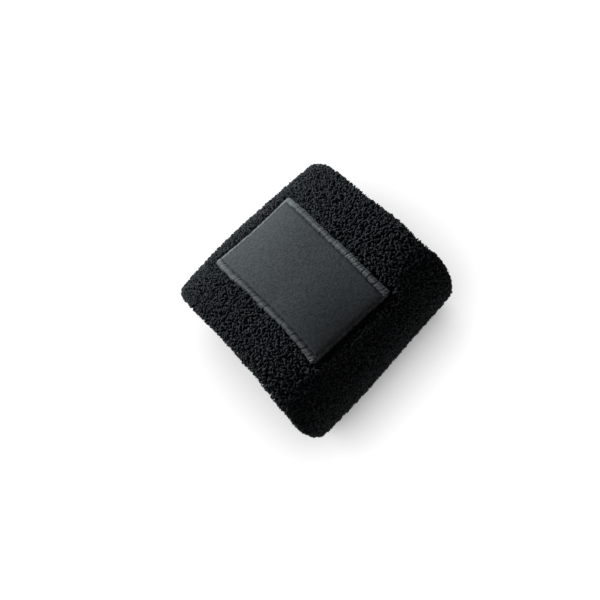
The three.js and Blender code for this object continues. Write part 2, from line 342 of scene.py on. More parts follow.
class PatchForm:
    """The patch's own plane, in mm: u along the arm, v round towards +Y, laid on the band."""

    def __init__(self, form):
        low, high = box_mm("patch_border_thread")
        self.form, self.patch = form, settings("patch")
        self.half_u = (high[0] - low[0]) / 2
        reach = form.arc_at(np.array([0.0]), np.array([self._angle_of(high[1], form)]))
        self.half_v = abs(float(reach[0]))
        self.face_top = box_mm("patch_twill_face")[1][2] - form.axis_z - form.half_thickness

    @staticmethod
    def _angle_of(y, form):
        angle = np.linspace(0.2, math.pi / 2, 2000)
        outer = form.raw(0.0, angle, form.wall)[0][:, 1]
        return float(np.interp(-y, -outer, angle))

    def broadening(self, v):
        """How much broader the patch is at v than as it was cut."""
        return 1 + self.patch.spread / self.half_u + self.patch.flare * v / self.half_v

    def sewn_off(self, u, v):
        """How far the sewing has drawn a place of the patch off true, along u and along v."""
        patch = self.patch
        across = np.clip(u / self.half_u, -1.15, 1.15)
        low = np.clip(-v / self.half_v, 0, 1.1) ** 2
        high = np.clip(v / self.half_v, 0, 1.1) ** 3
        lopsided = 0.6
        along_u = -patch.hand_pull * low * (1 - lopsided * across) / (1 + lopsided)
        along_v = patch.forearm_pull * low * (1 + across) / 2
        along_v = along_v - high * (patch.tuck + patch.bow * (1 - across**2))
        return along_u, along_v

    def place(self, u, v, height):
        u, v, height = np.broadcast_arrays(u, v, height)
        height = height + self.lift(v)
        along_u, along_v = self.sewn_off(u, v)
        x = u * self.broadening(v) + along_u
        arc = v + self.patch.shift - self.patch.skew * u + along_v
        return self.form.place(x, self.form.angle_at(x, arc), height)

    def edge_drop(self, v):
        """How far the border turns down over the wrist at the patch's two ends."""
        border = self.patch.border
        low = np.clip((-v - self.half_v + border + 0.2) / border, 0, 1.2)
        high = np.clip((v - self.half_v + border) / border, 0, 1.2)
        # at the -Y end part of the drop is a step beside the cloth, and the rest a slope
        step_share = 0.42
        step = step_share * np.clip(low * 6, 0, 1)
        return -self.patch.drop * (step + (1 - step_share) * low) - self.patch.turn_down * high

    def lift(self, v):
        """The stiff patch bends less than the wrist does, so its -Y end stands up a little."""
        lies_flat = 8
        return self.patch.stiff_lift * np.clip((-v - lies_flat) / (self.half_v - lies_flat), 0, 1) ** 3

    def press(self, u, v):
        """How far the pile beside the patch is heaped up at its -Y end, and held down elsewhere."""
        patch = self.patch
        away = np.maximum(-self.inside(u, v), 0)
        end = patch.held_down + patch.end_held_down * np.clip(v / self.half_v, 0, 1) ** 4
        heap = patch.heap * np.clip(-v / self.half_v, 0, 1) ** 8
        return heap * np.exp(-(((away - 2.6) / 1.7) ** 2)) - end * np.exp(-((away / 2.3) ** 2))

    def drop_over(self, v, depth):
        """The cloth's own edge: it keeps its height up to the groove and only then goes down."""
        gives_way = 0.3
        return self.edge_drop(v) * np.clip(1 - depth / gives_way, 0, 1)

    def coordinates(self, x, angle):
        """The u and v of places on the band, closer with each of a few rounds."""
        arc = self.form.arc_at(x, angle)
        u, v = x, arc
        for _ in range(3):
            along_u, along_v = self.sewn_off(u, v)
            v = arc - self.patch.shift + self.patch.skew * u - along_v
            u = (x - along_u) / self.broadening(np.clip(v, -1.2 * self.half_v, 1.2 * self.half_v))
        return u, v

    def inside(self, u, v, inset=0.0):
        """How far a place is inside the patch's outline less an inset; negative outside."""
        radius = max(self.patch.corner - inset, 0.2)
        du = np.abs(u) - (self.half_u - inset - radius)
        dv = np.abs(v) - (self.half_v - inset - radius)
        outside = np.hypot(np.maximum(du, 0), np.maximum(dv, 0))
        return radius - outside - np.minimum(np.maximum(du, dv), 0)

    def outline(self, inset, count):
        """count evenly spaced points round the outline less an inset, and their outward normals."""
        radius = max(self.patch.corner - inset, 0.25)
        half_u, half_v = self.half_u - inset - radius, self.half_v - inset - radius
        sides = [2 * half_v, 2 * half_u, 2 * half_v, 2 * half_u]
        corner = radius * math.pi / 2
        total = sum(sides) + 4 * corner
        at = np.arange(count) / count * total
        points, normals = np.zeros((count, 2)), np.zeros((count, 2))
        start = 0.0
        corners = [(half_u, half_v), (-half_u, half_v), (-half_u, -half_v), (half_u, -half_v)]
        for k in range(4):
            way = np.array([-math.sin(k * math.pi / 2), math.cos(k * math.pi / 2)])
            out = np.array([way[1], -way[0]])
            on = (at >= start) & (at < start + sides[k])
            run = (at[on] - start)[:, None]
            points[on] = np.array(corners[k - 1]) + radius * out + run * way
            normals[on] = out
            start += sides[k]
            on = (at >= start) & (at < start + corner)
            turn = k * math.pi / 2 + (at[on] - start) / radius
            way = np.stack([np.cos(turn), np.sin(turn)], 1)
            points[on] = np.array(corners[k]) + radius * way
            normals[on] = way
            start += corner
        return points, normals, total


# ---------------------------------------------------------------- mesh making


def linked(name, data):
    """A new object in the scene."""
    made = bpy.data.objects.new(name, data)
    bpy.context.scene.collection.objects.link(made)
    return made


def new_piece(name, points, faces, uvs, material, nodes, floats=None):
    """A shown piece from points in mm and face arrays, riding on the frame in place of nodes."""
    mesh = bpy.data.meshes.new(name)
    mesh.vertices.add(len(points))
    mesh.vertices.foreach_set("co", (np.asarray(points, np.float32) * MM).ravel())
    corners = np.concatenate([f.ravel() for f in faces]).astype(np.int32)
    counts = np.concatenate([np.full(len(f), f.shape[1], np.int32) for f in faces])
    starts = np.concatenate([[0], np.cumsum(counts)[:-1]]).astype(np.int32)
    mesh.loops.add(len(corners))
    mesh.loops.foreach_set("vertex_index", corners)
    mesh.polygons.add(len(counts))
    mesh.polygons.foreach_set("loop_start", starts)
    for layer, parts in uvs.items():
        flat = np.concatenate([p.reshape(-1, 2) for p in parts]).astype(np.float32)
        mesh.uv_layers.new(name=layer).uv.foreach_set("vector", flat.ravel())
    for label, values in (floats or {}).items():
        mesh.attributes.new(label, "FLOAT", "POINT").data.foreach_set("value", values.astype(np.float32))
    mesh.update(calc_edges=True)
    mesh.polygons.foreach_set("use_smooth", np.ones(len(counts), bool))
    mesh.materials.append(material)
    piece = linked(name, mesh)
    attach(piece, "root")
    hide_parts(*nodes)
    return piece


def corner_places(rows, columns):
    """The (row, column) of each corner of the quads of a grid that closes on itself."""
    at = np.stack(np.meshgrid(np.arange(rows), np.arange(columns), indexing="ij"), -1)
    return np.stack([at + step for step in ([0, 0], [0, 1], [1, 1], [1, 0])], 2)


def tubes(lines, radii, across, sides, closed=False):
    """Round tubes along many lines at once, capped or closed on themselves.
    lines is (tubes, rings, 3), radii (tubes, rings) and across (tubes, 3) or (tubes, rings, 3)."""
    if closed:
        along = np.roll(lines, -1, axis=1) - np.roll(lines, 1, axis=1)
    else:
        along = np.gradient(lines, axis=1)
    along /= np.linalg.norm(along, axis=2, keepdims=True)
    across = across[:, None, :] if across.ndim == 2 else across
    side = across - (across * along).sum(2, keepdims=True) * along
    side /= np.linalg.norm(side, axis=2, keepdims=True)
    other = np.cross(along, side)
    turn = TURN * np.arange(sides) / sides
    ring = np.cos(turn)[:, None] * side[:, :, None, :] + np.sin(turn)[:, None] * other[:, :, None, :]
    points = lines[:, :, None, :] + radii[:, :, None, None] * ring
    count, rings = lines.shape[:2]
    index = np.arange(count * rings * sides).reshape(count, rings, sides)
    after = np.roll(index, -1, axis=1) if closed else index[:, 1:]
    here = index if closed else index[:, :-1]
    quads = np.stack([here, np.roll(here, -1, axis=2), np.roll(after, -1, axis=2), after], -1)
    spans = quads.shape[1]
    faces = [quads.reshape(-1, 4)]
    uvs = [np.broadcast_to(corner_places(spans, sides), (count, spans, sides, 4, 2))]
    if not closed:
        faces += [index[:, 0, ::-1], index[:, -1, :]]
        for edge in (0, spans):
            cap = np.stack([np.full(sides, edge), np.arange(sides)], -1)
            uvs.append(np.broadcast_to(cap, (count, sides, 2)))
    return points.reshape(-1, 3), faces, uvs, spans


def packed_uv(uvs, spans, sides, count):
    """Each tube's strip in its own cell of a square map, for its pattern to be stored in."""
    columns = max(1, round(math.sqrt(count)))
    rows = -(-count // columns)
    cell = np.arange(count)
    low = np.stack([cell % columns / columns, cell // columns / rows], -1)
    size = np.array([1 / columns, 1 / rows])
    out = []
    for part in uvs:
        local = part / np.array([spans, sides]) * 0.9 + 0.05
        shape = (count,) + (1,) * (part.ndim - 2) + (2,)
        out.append(low.reshape(shape) + local * size)
    return out


def yarn_piece(name, lines, radii, across, sides, pace, tones, material, slot, nodes, closed=False):
    """A piece of yarns: their twist runs pace mm to a ring, and tones has one value for each yarn
    or each ring of it."""
    count, rings = lines.shape[:2]
    points, faces, uvs, spans = tubes(lines, radii, across, sides, closed)
    points[:, 2] = np.maximum(points[:, 2], OFF_FLOOR)
    yarn = [part * np.array([pace, 1 / sides]) for part in uvs]
    maps = {"OFBake": packed_uv(uvs, spans, sides, count), "Yarn": yarn}
    tone = np.repeat(np.broadcast_to(tones, (count, rings)).ravel(), sides)
    return new_piece(name, points, faces, maps, material, nodes, {"tone": tone})


def grid_faces(rows, columns, closed_rows, closed_columns, flip=False):
    index = np.arange(rows * columns).reshape(rows, columns)
    a = index if closed_rows else index[:-1]
    b = np.roll(index, -1, 0) if closed_rows else index[1:]
    if closed_columns:
        quads = np.stack([a, np.roll(a, -1, 1), np.roll(b, -1, 1), b], -1)
    else:
        quads = np.stack([a[:, :-1], a[:, 1:], b[:, 1:], b[:, :-1]], -1)
    quads = quads.reshape(-1, 4)
    return quads[:, ::-1] if flip else quads


def closed_sheet(top, bottom):
    """Points and faces of a closed sheet between two grids of the same shape."""
    rows, columns = top.shape[:2]
    count = rows * columns
    over = grid_faces(rows, columns, False, False)
    under = grid_faces(rows, columns, False, False, flip=True) + count
    index = np.arange(count).reshape(rows, columns)
    rim = np.concatenate([index[0, :-1], index[:-1, -1], index[-1, :0:-1], index[:0:-1, 0]])
    after = np.roll(rim, -1)
    walls = np.stack([after, rim, rim + count, after + count], -1)
    points = np.concatenate([top.reshape(-1, 3), bottom.reshape(-1, 3)])
    return points, [over, under, walls]


# ---------------------------------------------------------------- materials


def node(tree, kind, where, **values):
    made = tree.nodes.new(kind)
    made.location = where
    for name, value in values.items():
        if name in made.inputs:
            made.inputs[name].default_value = value
        else:
            setattr(made, name, value)
    return made


def maths(tree, operation, where, *values):
    """The result of a math node whose inputs are sockets to link or numbers to set."""
    made = node(tree, "ShaderNodeMath", where, operation=operation)
    for socket, value in zip(made.inputs, values):
        if isinstance(value, bpy.types.NodeSocket):
            tree.links.new(value, socket)
        else:
            socket.default_value = value
    return made.outputs[0]


def effect(name, inputs, outputs):
    """An empty shader node group: its inputs are numbers, or a place where no default is given,
    and its outputs are numbers."""
    tree = bpy.data.node_groups.new(name, "ShaderNodeTree")
    for label, default in inputs.items():
        kind = "NodeSocketVector" if default is None else "NodeSocketFloat"
        socket = tree.interface.new_socket(name=label, in_out="INPUT", socket_type=kind)
        if default is not None:
            socket.default_value = default
    for label in outputs:
        tree.interface.new_socket(name=label, in_out="OUTPUT", socket_type="NodeSocketFloat")
    given, out = tree.nodes.new("NodeGroupInput"), tree.nodes.new("NodeGroupOutput")
    given.location, out.location = (-1000, 0), (700, 0)
    return tree, given.outputs, out.inputs


def ply_twist_group():
    """Spun plies winding round a yarn: height over the surface, from the place along and round it."""
    tree, given, out = effect("Ply twist", {"Place": None, "Turns": 1.0, "Plies": 2.0}, ["Height"])
    split = node(tree, "ShaderNodeSeparateXYZ", (-600, 0))
    tree.links.new(given["Place"], split.inputs[0])
    along = maths(tree, "MULTIPLY", (-400, 100), split.outputs["X"], given["Turns"])
    both = maths(tree, "ADD", (-200, 60), along, split.outputs["Y"])
    plies = maths(tree, "MULTIPLY", (-20, 60), both, given["Plies"])
    phase = maths(tree, "MULTIPLY", (140, 60), plies, math.pi)
    wave = maths(tree, "SINE", (300, 60), phase)
    tree.links.new(maths(tree, "ABSOLUTE", (460, 60), wave), out["Height"])
    return tree


def fibre_group():
    """Fine fibres: a tone from 0 to 1 and a height, both from noise at two sizes."""
    tree, given, out = effect("Fibres", {"Size": 4000.0, "Patches": 120.0}, ["Tone", "Height"])
    place = node(tree, "ShaderNodeTexCoord", (-700, 0))
    fine = node(tree, "ShaderNodeTexNoise", (-400, 150), Detail=3.0, Roughness=0.65)
    broad = node(tree, "ShaderNodeTexNoise", (-400, -150), Detail=2.0, Roughness=0.5)
    for noise, size in ((fine, "Size"), (broad, "Patches")):
        tree.links.new(place.outputs["Object"], noise.inputs["Vector"])
        tree.links.new(given[size], noise.inputs["Scale"])
    both = maths(tree, "ADD", (-150, 0), fine.outputs["Fac"], broad.outputs["Fac"])
    tree.links.new(maths(tree, "MULTIPLY", (20, 0), both, 0.5), out["Tone"])
    tree.links.new(fine.outputs["Fac"], out["Height"])
    return tree


def twill_group():
    """Diagonal twill lines crossed by fine threads: a height and a tone from a place in mm."""
    tree, given, out = effect("Twill weave", {"Place": None, "Pitch": 0.4}, ["Height", "Tone"])
    scaled = node(tree, "ShaderNodeVectorMath", (-700, 0), operation="DIVIDE")
    tree.links.new(given["Place"], scaled.inputs[0])
    tree.links.new(given["Pitch"], scaled.inputs[1])
    wobble = node(tree, "ShaderNodeTexNoise", (-700, -250), Scale=0.6, Detail=2.0)
    tree.links.new(scaled.outputs[0], wobble.inputs["Vector"])
    split = node(tree, "ShaderNodeSeparateXYZ", (-500, 0))
    tree.links.new(scaled.outputs[0], split.inputs[0])
    stray = wobble.outputs["Fac"]

    def wave(first, second, gain, row):
        """The ridges of one set of threads, lying along first + gain * second."""
        slanted = maths(tree, "MULTIPLY_ADD", (-300, row), split.outputs[second], gain, split.outputs[first])
        strayed = maths(tree, "MULTIPLY_ADD", (-140, row), stray, 0.5, slanted)
        return maths(tree, "SINE", (180, row), maths(tree, "MULTIPLY", (20, row), strayed, TURN))

    lines, threads = wave("X", "Y", 0.5, 200), wave("Y", "X", 0.0, -100)
    height = maths(tree, "MULTIPLY_ADD", (380, 60), threads, 0.45, lines)
    level = maths(tree, "MULTIPLY_ADD", (540, 60), height, 0.33, 0.5)
    tree.links.new(level, out["Height"])
    tree.links.new(maths(tree, "MULTIPLY_ADD", (540, -120), stray, 0.6, level), out["Tone"])
    return tree


def group_named(name):
    if name not in bpy.data.node_groups:
        {"Ply twist": ply_twist_group, "Fibres": fibre_group, "Twill weave": twill_group}[name]()
    return bpy.data.node_groups[name]


def placed_group(tree, name, where, **values):
    made = node(tree, "ShaderNodeGroup", where)
    made.node_tree = group_named(name)
    for label, value in values.items():
        made.inputs[label].default_value = value
    return made.inputs, made.outputs


def blank_material(name, colour_value, roughness, specular=0.4):
    """A material with its Principled shader, whose colour is also set for the viewport."""
    if name in bpy.data.materials:
        return bpy.data.materials[name], None, None
    made = bpy.data.materials.new(name)
    made.use_nodes = True
    made.diffuse_color = (*colour_value, 1)
    shader = made.node_tree.nodes["Principled BSDF"]
    shader.inputs["Roughness"].default_value = roughness
    shader.inputs["Specular IOR Level"].default_value = specular
    return made, made.node_tree, shader


def tinted(tree, shader, base, fac, low, high):
    """Base Color running from low to high times the base colour as fac goes from 0 to 1."""
    ramp = node(tree, "ShaderNodeMix", (-300, 200), data_type="RGBA", clamp_factor=True)
    factor, first, second, result = ramp.inputs[0], ramp.inputs[6], ramp.inputs[7], ramp.outputs[2]
    first.default_value = (*[c * low for c in base], 1)
    second.default_value = (*[c * high for c in base], 1)
    tree.links.new(fac, factor)
    tree.links.new(result, shader.inputs["Base Color"])


def bumped(tree, shader, height, strength, distance):
    bump = node(tree, "ShaderNodeBump", (-150, -200), Strength=strength, Distance=distance)
    tree.links.new(height, bump.inputs["Height"])
    tree.links.new(bump.outputs["Normal"], shader.inputs["Normal"])


def woven(tree, pitch):
    """The weave group, placed by the piece's own Weave map; its outputs."""
    place = node(tree, "ShaderNodeUVMap", (-1100, 0), uv_map="Weave")
    given, weave = placed_group(tree, "Twill weave", (-850, 0), Pitch=pitch)
    tree.links.new(place.outputs["UV"], given["Place"])
    return weave


def sheen(shader, weight):
    shader.inputs["Sheen Weight"].default_value = weight
    shader.inputs["Sheen Roughness"].default_value = 0.5


def yarn_material(name, base, roughness, turns, plies, fuzz, specular=0.35, depth=0.08, pale=1.5):
    """Spun yarn: plies winding round it, fine fibres depth mm high, and each yarn's tone from its tone
    attribute, which carries random tone and, on the terry and the border, also painted light and shade.
    """
    made, tree, shader = blank_material(name, base, roughness, specular)
    if tree is None:
        return made
    place = node(tree, "ShaderNodeUVMap", (-1100, 0), uv_map="Yarn")
    given, twist = placed_group(tree, "Ply twist", (-800, 0), Turns=turns, Plies=plies)
    tree.links.new(place.outputs["UV"], given["Place"])
    fibres = placed_group(tree, "Fibres", (-800, -250), Size=5200.0, Patches=90.0)[1]
    own = node(tree, "ShaderNodeAttribute", (-800, 300), attribute_name="tone")
    level = maths(tree, "SUBTRACT", (-680, 320), own.outputs["Fac"], 0.25)
    shade = maths(tree, "MULTIPLY_ADD", (-560, 200), fibres["Tone"], 0.8, level)
    deep = maths(tree, "MULTIPLY_ADD", (-400, 100), twist["Height"], 0.3, shade)
    tinted(tree, shader, base, deep, 0.55, pale)
    height = maths(tree, "MULTIPLY_ADD", (-400, -200), fibres["Height"], fuzz, twist["Height"])
    bumped(tree, shader, height, 0.8, depth * MM)
    return made


def terry_material():
    base = tuple(settings("finishes").terry)
    made = yarn_material("Terry yarn", base, 0.82, turns=0.8, plies=2.0, fuzz=0.9, specular=0.22, pale=2.6)
    sheen(made.node_tree.nodes["Principled BSDF"], 0.14)
    return made


def ground_material():
    base = tuple(c * 0.55 for c in settings("finishes").terry)
    made, tree, shader = blank_material("Knitted ground", base, 0.95, 0.15)
    if tree is not None:
        knit = woven(tree, 1.1)
        tinted(tree, shader, base, knit["Tone"], 0.5, 1.3)
        bumped(tree, shader, knit["Height"], 0.8, 0.3 * MM)
    return made


def twill_material():
    base = tuple(settings("finishes").twill)
    made, tree, shader = blank_material("Patch twill", base, 0.78, 0.25)
    if tree is None:
        return made
    sheen(shader, 0.02)
    weave = woven(tree, 0.42)
    fibres = placed_group(tree, "Fibres", (-850, -300), Size=2700.0, Patches=1300.0)[1]
    speckle = maths(tree, "MULTIPLY_ADD", (-600, 150), fibres["Tone"], 4.4, -2.2)
    level = maths(tree, "MULTIPLY_ADD", (-450, 150), weave["Tone"], 0.6, speckle)
    tinted(tree, shader, base, level, 0.54, 1.46)
    height = maths(tree, "MULTIPLY_ADD", (-600, -150), fibres["Tone"], 3.0, weave["Height"])
    bumped(tree, shader, height, 0.6, 0.07 * MM)
    return made


def interlining_material():
    base = (0.62, 0.62, 0.60)
    made, tree, shader = blank_material("Interlining", base, 0.9, 0.2)
    if tree is not None:
        fibres = placed_group(tree, "Fibres", (-700, 0), Size=2500.0, Patches=300.0)[1]
        tinted(tree, shader, base, fibres["Tone"], 0.8, 1.1)
        bumped(tree, shader, fibres["Height"], 0.7, 0.1 * MM)
    return made


def border_material():
    base = tuple(settings("finishes").border)
    made = {"turns": 0.5, "plies": 2.0, "fuzz": 0.35, "specular": 0.3, "depth": 0.03, "pale": 1.9}
    return yarn_material("Border thread", base, 0.5, **made)


def elastic_material():
    base = (0.022, 0.022, 0.025)
    return yarn_material("Covered elastic", base, 0.6, turns=4.0, plies=1.0, fuzz=0.3, specular=0.4)


def seam_material():
    base = tuple(c * 1.3 for c in settings("finishes").terry)
    made = {"turns": 0.6, "plies": 2.0, "fuzz": 0.4, "specular": 0.4, "depth": 0.04}
    return yarn_material("Seam thread", base, 0.6, **made)


def stitch_material():
    base = tuple(c * 0.5 for c in settings("finishes").twill)
    made = {"turns": 0.6, "plies": 2.0, "fuzz": 0.3, "specular": 0.4, "depth": 0.03}
    return yarn_material("Sewing thread", base, 0.5, **made)


# ---------------------------------------------------------------- terry loops


class Tufts:
    """Where the pile gathers into tufts: a smooth random field over the cloth and its slope."""

    def __init__(self, rng, size, waves=26):
        way = rng.uniform(0, TURN, waves)
        pace = TURN / (size * rng.uniform(0.75, 1.5, waves))
        self.pace = np.stack([np.cos(way), np.sin(way)], 1) * pace[:, None]
        self.phase = rng.uniform(0, TURN, waves)
        self.gain = 1.0 / math.sqrt(waves)

    def at(self, places):
        turn = places @ self.pace.T + self.phase
        value = np.cos(turn).sum(1) * self.gain
        slope = -np.sin(turn) @ self.pace * self.gain
        return value, slope


def loop_roots(form, rng, rows, pitch, tip):
    """Where loops grow: for each row of (x, height, out_x, out_h) the loops are spaced evenly
    round the band, tip mm over their feet, half a pitch on from the row before, and strayed."""
    found = []
    for number, (x, height, out_x, out_h) in enumerate(rows):
        round_it = form.around(x, height + out_h * tip)
        count = max(8, round(round_it / pitch))
        stray = rng.uniform(-0.33, 0.33, count) * pitch + (number % 2) * pitch / 2
        angle = form.even_angles(x, height + out_h * tip, count, stray)
        along = rng.uniform(-0.3, 0.3, count) * pitch
        columns = (x + along * abs(out_h), height - along * out_x, out_x, out_h, angle)
        found.append(np.stack(np.broadcast_arrays(*columns), 1))
    return np.concatenate(found)


def loop_lines(form, rng, roots, size, segments, lean_to=None):
    """The centrelines of terry loops on their roots: lines, radii and the way across each."""
    x, height, out_x, out_h, angle = roots.T
    base, out, first, second = form.frame_at(x, angle, height, out_x, out_h)
    count = len(roots)
    # a place on the opened-out cloth, for the tufts: along the arm or round the rim, and round it
    flat = np.stack([x + form.ground_outer * out_x * 1.3, form.arc_at(x, angle)], 1)
    tuft, slope = Tufts(np.random.default_rng(3), size["tuft"]).at(flat)
    # each loop's own width, height, facing, twist, lean and curl
    width = size["width"] * rng.uniform(0.65, 1.45, count)
    tall = size["height"] * np.clip(0.97 + 0.1 * tuft + rng.normal(0, 0.08, count), 0.7, 1.14)
    facing = rng.uniform(0, TURN, count)
    twist = rng.uniform(-1.4, 1.4, count)
    pull = slope * 0.35 / (1 + np.linalg.norm(slope, axis=1, keepdims=True) * 0.5)
    gathered = np.stack([pull[:, 0] * np.where(out_h < 0, -1, 1), -pull[:, 1]], 1)
    lean = (rng.normal(0, 0.4, (count, 2)) + gathered) * size["lean"]
    if lean_to is not None:
        lean = lean + lean_to
    curl = rng.normal(0, 0.16, count)
    phase = np.linspace(0, math.pi, segments + 1)
    rise = np.sin(phase) ** 0.8
    spread = -np.cos(phase) * (0.5 + 0.22 * np.sin(phase))
    turn = facing[:, None] + twist[:, None] * rise
    sway = curl[:, None] * np.sin(2 * phase)
    flat_a = width[:, None] * spread
    a = flat_a * np.cos(turn) - sway * np.sin(turn) + lean[:, :1] * rise**1.4
    b = flat_a * np.sin(turn) + sway * np.cos(turn) + lean[:, 1:] * rise**1.4
    up = tall[:, None] * rise - size["sink"]
    lines = base[:, None, :] + a[:, :, None] * first[:, None, :]
    lines = lines + b[:, :, None] * second[:, None, :] + up[:, :, None] * out[:, None, :]
    across = -np.sin(facing)[:, None] * first + np.cos(facing)[:, None] * second
    thick = size["yarn"] / 2 * rng.uniform(0.88, 1.12, count)
    radii = thick[:, None] * (0.8 + 0.25 * np.sin(phase))
    return lines, radii, across


def terry_piece(name, form, rng, roots, size, segments, sides, cad, lean_to=None):
    """A piece of terry loops on their roots, for one CAD node."""
    lines, radii, across = loop_lines(form, rng, roots, size, segments, lean_to)
    # paler roots are painted light: they stand in for light that fibres scatter down between the loops
    rise = np.sin(np.linspace(0, math.pi, segments + 1)) ** 0.8
    tones = rng.uniform(0.0, 0.3, (len(roots), 1)) + settings("loops").root_glow * (1 - rise)
    pace = size["height"] * 2.6 / segments
    yarn_piece(name, lines, radii, across, sides, pace, tones, terry_material(), "terry", [cad])


def loop_size(lean=1.0, share=1.0):
    """The sizes of a loop in mm, how freely it leans, and its width as a share of the usual."""
    loops, band = settings("loops"), settings("band")
    height = band.pile + band.pile_gap - 0.25
    sizes = {"width": loops.width * share, "height": height, "yarn": loops.yarn}
    return {**sizes, "sink": 0.05, "lean": lean, "tuft": loops.tuft}


def back_and_palm(roots):
    """(label, which roots) of the half of the band towards the patch and of the other half."""
    sector = (roots[:, 4] / math.pi).astype(int) % 2
    return ("back", sector == 0), ("palm", sector == 1)


class WRISTBAND_OT_outer_loops(bpy.types.Operator):
    """Terry loops over the outside of the band, round the patch"""

    bl_idname = "wristband.outer_loops"
    bl_label = "Outer loops"

    def execute(self, context):
        form = Form()
        patch = PatchForm(form)
        loops = settings("loops")
        rng = np.random.default_rng(loops.seed)
        base = form.fold_radius + form.ground_outer
        half = form.fold_start
        # rows of loops lie a little closer than the loops in a row
        count = round(2 * half / (loops.pitch * 0.92))
        rows = [((i + 0.5) / count * 2 * half - half, base, 0.0, 1.0) for i in range(count)]
        roots = loop_roots(form, rng, rows, loops.pitch, 1.2)
        u, v = patch.coordinates(roots[:, 0], roots[:, 4])
        depth = patch.inside(u, v)
        clear, near_reach = 0.25, 1.3
        roots, u, v, depth = (part[depth < -clear] for part in (roots, u, v, depth))
        roots[:, 1] += patch.press(u, v)
        near = np.clip(1 + (depth + clear) / near_reach, 0, 1)
        # the loops beside the patch lean off it
        flat = np.stack([u, v], 1)
        way = -np.sign(flat) * (np.abs(flat) > [patch.half_u, patch.half_v])
        lean_to = near[:, None] * way * rng.uniform(-0.2, 0.75, (len(u), 1))
        sector = (roots[:, 4] / TURN * 8).astype(int) % 8
        for k in range(8):
            name, mine, cad = f"terry_outer_{k + 1}", sector == k, "outer_loop_pile"
            terry_piece(name, form, rng, roots[mine], loop_size(), 8, 6, cad, lean_to[mine])
        return {"FINISHED"}


class WRISTBAND_OT_rim_loops(bpy.types.Operator):
    """Terry loops that fan out round the two rolled rims"""

    bl_idname = "wristband.rim_loops"
    bl_label = "Rim loops"

    def execute(self, context):
        form = Form()
        loops = settings("loops")
        rng = np.random.default_rng(loops.seed + 1)
        # loops that fan out stand closer at their feet, and enough rows to be even at their tips
        pitch, tip = loops.pitch * 0.93, 1.5
        fan = round(math.pi * (form.ground_outer + tip) / pitch)
        for end, label in ((-1, "hand"), (1, "forearm")):
            rows = []
            for i in range(fan):
                turn = math.pi * ((i + 0.5) / fan - 0.5)
                out_x, out_h = end * math.cos(turn), math.sin(turn)
                x = end * form.fold_start + form.ground_outer * out_x
                rows.append((x, form.fold_radius + form.ground_outer * out_h, out_x, out_h))
            roots = loop_roots(form, rng, rows, pitch, 1.2)
            for side, mine in back_and_palm(roots):
                name, cad = f"terry_{label}_rim_{side}", f"{label}_rim_loop_pile"
                terry_piece(name, form, rng, roots[mine], loop_size(0.8, 0.82), 9, 6, cad)
        return {"FINISHED"}


class WRISTBAND_OT_stray_fibres(bpy.types.Operator):
    """Fine fibres that have worked loose from the yarn and stand over the loops"""

    bl_idname = "wristband.stray_fibres"
    bl_label = "Stray fibres"

    def execute(self, context):
        form = Form()
        loops = settings("loops")
        rng = np.random.default_rng(loops.seed + 3)
        count = loops.fibres
        rim_share, clear, lowest = 0.22, 0.6, 1.45
        on_rim = rng.uniform(0, 1, count) < rim_share
        end = rng.choice([-1.0, 1.0], count)
        turn = rng.uniform(-0.5, 0.5, count) * math.pi
        out_x = np.where(on_rim, end * np.cos(turn), 0.0)
        out_h = np.where(on_rim, np.sin(turn), 1.0)
        x = np.where(on_rim, end * form.fold_start, rng.uniform(-1, 1, count) * form.fold_start)
        x = x + form.ground_outer * out_x
        height = form.fold_radius + form.ground_outer * out_h
        angle = rng.uniform(0, TURN, count)
        patch = PatchForm(form)
        kept = patch.inside(*patch.coordinates(x, angle)) < -clear
        x, height, out_x, out_h, angle = (part[kept] for part in (x, height, out_x, out_h, angle))
        count = len(x)
        base, out, first, second = form.frame_at(x, angle, height, out_x, out_h)
        facing = rng.uniform(0, TURN, (count, 1))
        way = np.cos(facing) * first + np.sin(facing) * second
        beside = np.cross(out, way)
        reach = rng.uniform(0.7, 2.0, (count, 1))
        run = np.linspace(0, 1, 5)[None, :]
        rise = lowest + reach * rng.uniform(0.1, 0.5, (count, 1)) * np.sin(run * math.pi * 0.8)
        sway = reach * rng.normal(0, 0.45, (count, 1)) * run**2
        lines = base[:, None, :] + rise[:, :, None] * out[:, None, :]
        lines = lines + (reach * run)[:, :, None] * way[:, None, :] + sway[:, :, None] * beside[:, None, :]
        radii = loops.fibre / 2 * (1 - 0.4 * run) * np.ones((count, 1))
        for label, mine in (("hand", x < 0), ("forearm", x >= 0)):
            name, nodes = f"terry_fibres_{label}", ["outer_loop_pile", f"{label}_rim_loop_pile"]
            tones = rng.uniform(0.2, 0.8, (mine.sum(), 1))
            shape = lines[mine], radii[mine], beside[mine]
            yarn_piece(name, *shape, 3, 0.4, tones, terry_material(), "terry", nodes)
        return {"FINISHED"}


class WRISTBAND_OT_lining_loops(bpy.types.Operator):
    """Terry loops of the lining, either side of the closing seam"""

    bl_idname = "wristband.lining_loops"
    bl_label = "Lining loops"

    def execute(self, context):
        form = Form()
        loops = settings("loops")
        rng = np.random.default_rng(loops.seed + 2)
        base = form.fold_radius - form.ground_outer
        start, stop = 1.3, form.fold_start
        pitch = loops.lining_pitch
        count = round((stop - start) / (pitch * 0.95))
        for end, label in ((-1, "hand"), (1, "forearm")):
            places = [start + (i + 0.5) / count * (stop - start) for i in range(count)]
            rows = [(end * place, base, 0.0, -1.0) for place in places]
            roots = loop_roots(form, rng, rows, pitch, 0.9)
            for side, mine in back_and_palm(roots):
                name, cad = f"terry_lining_{label}_{side}", f"lining_loop_pile_{label}"
                terry_piece(name, form, rng, roots[mine], loop_size(), 8, 5, cad)
        return {"FINISHED"}


# ---------------------------------------------------------------- inside the wall


